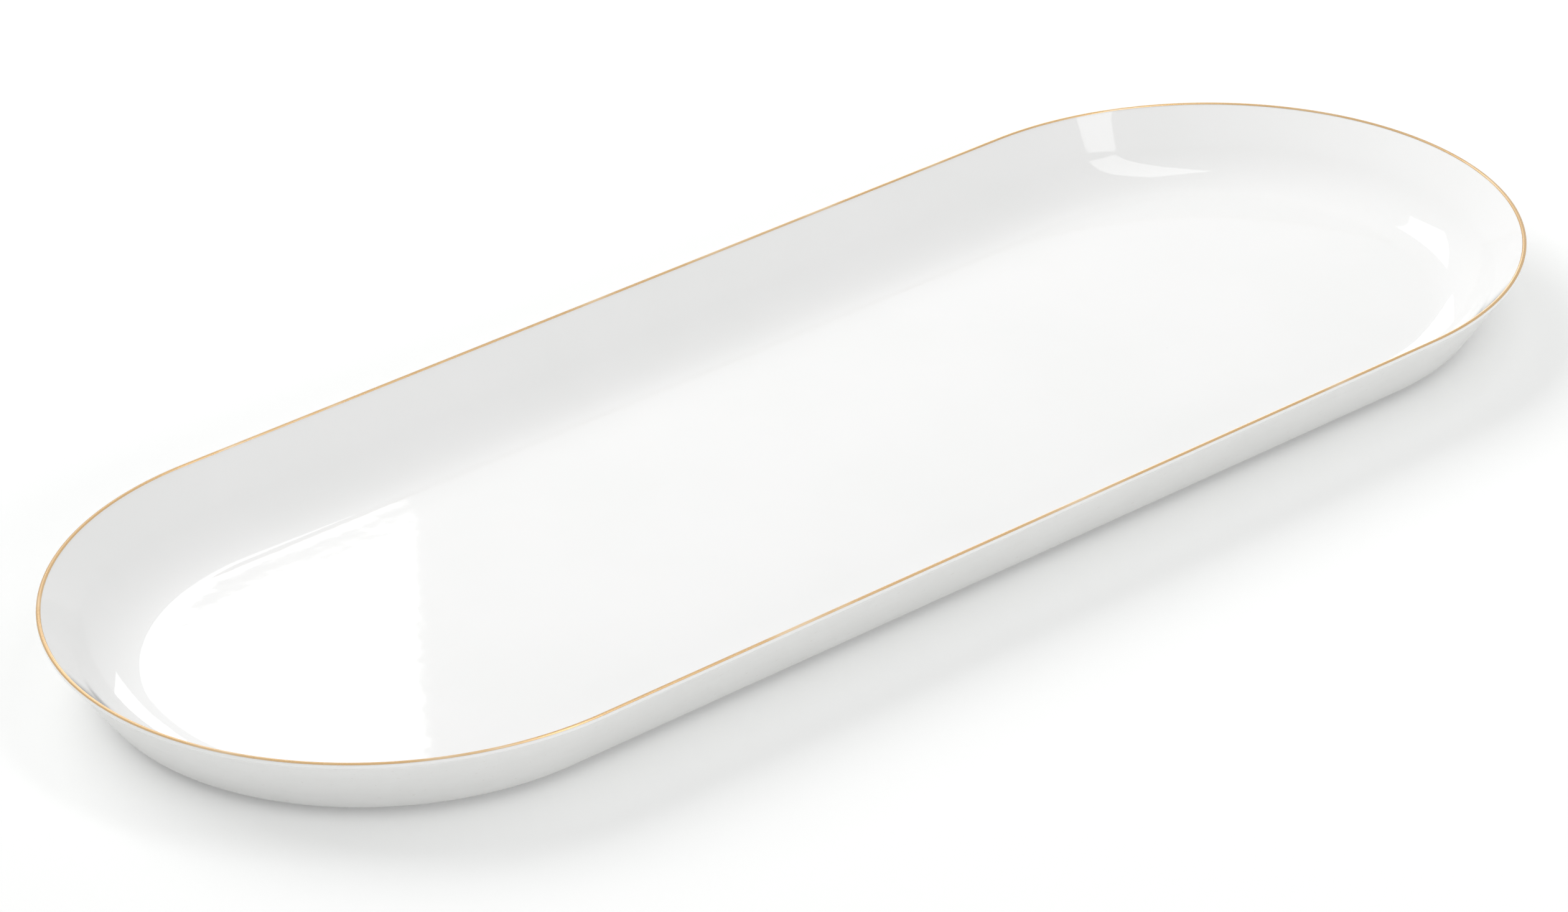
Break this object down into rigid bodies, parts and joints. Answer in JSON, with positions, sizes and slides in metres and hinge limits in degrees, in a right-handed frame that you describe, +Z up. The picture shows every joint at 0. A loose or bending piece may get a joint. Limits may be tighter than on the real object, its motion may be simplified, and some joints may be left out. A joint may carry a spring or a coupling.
{
  "type": "serving platter",
  "caption": "Long oblong china serving platter with half-round ends, flared wall, glazed well, bare outside and a gold line on its lip.",
  "frame": {"origin": "middle of the face that the foot ring rests on", "axes": "+X along the platter's length, +Z up, out of the well"},
  "size_m": [0.4998, 0.19, 0.0255],
  "materials": {
    "biscuit": "matt",
    "glaze": "gloss",
    "foot_clay": "ground matt",
    "gold": "bright"
  },
  "bodies": {
    "root": {"porcelain_body": "biscuit", "foot_ring": "foot_clay", "glaze_lining": "glaze", "gold_rim_line": "gold"}
  },
  "joints": []
}
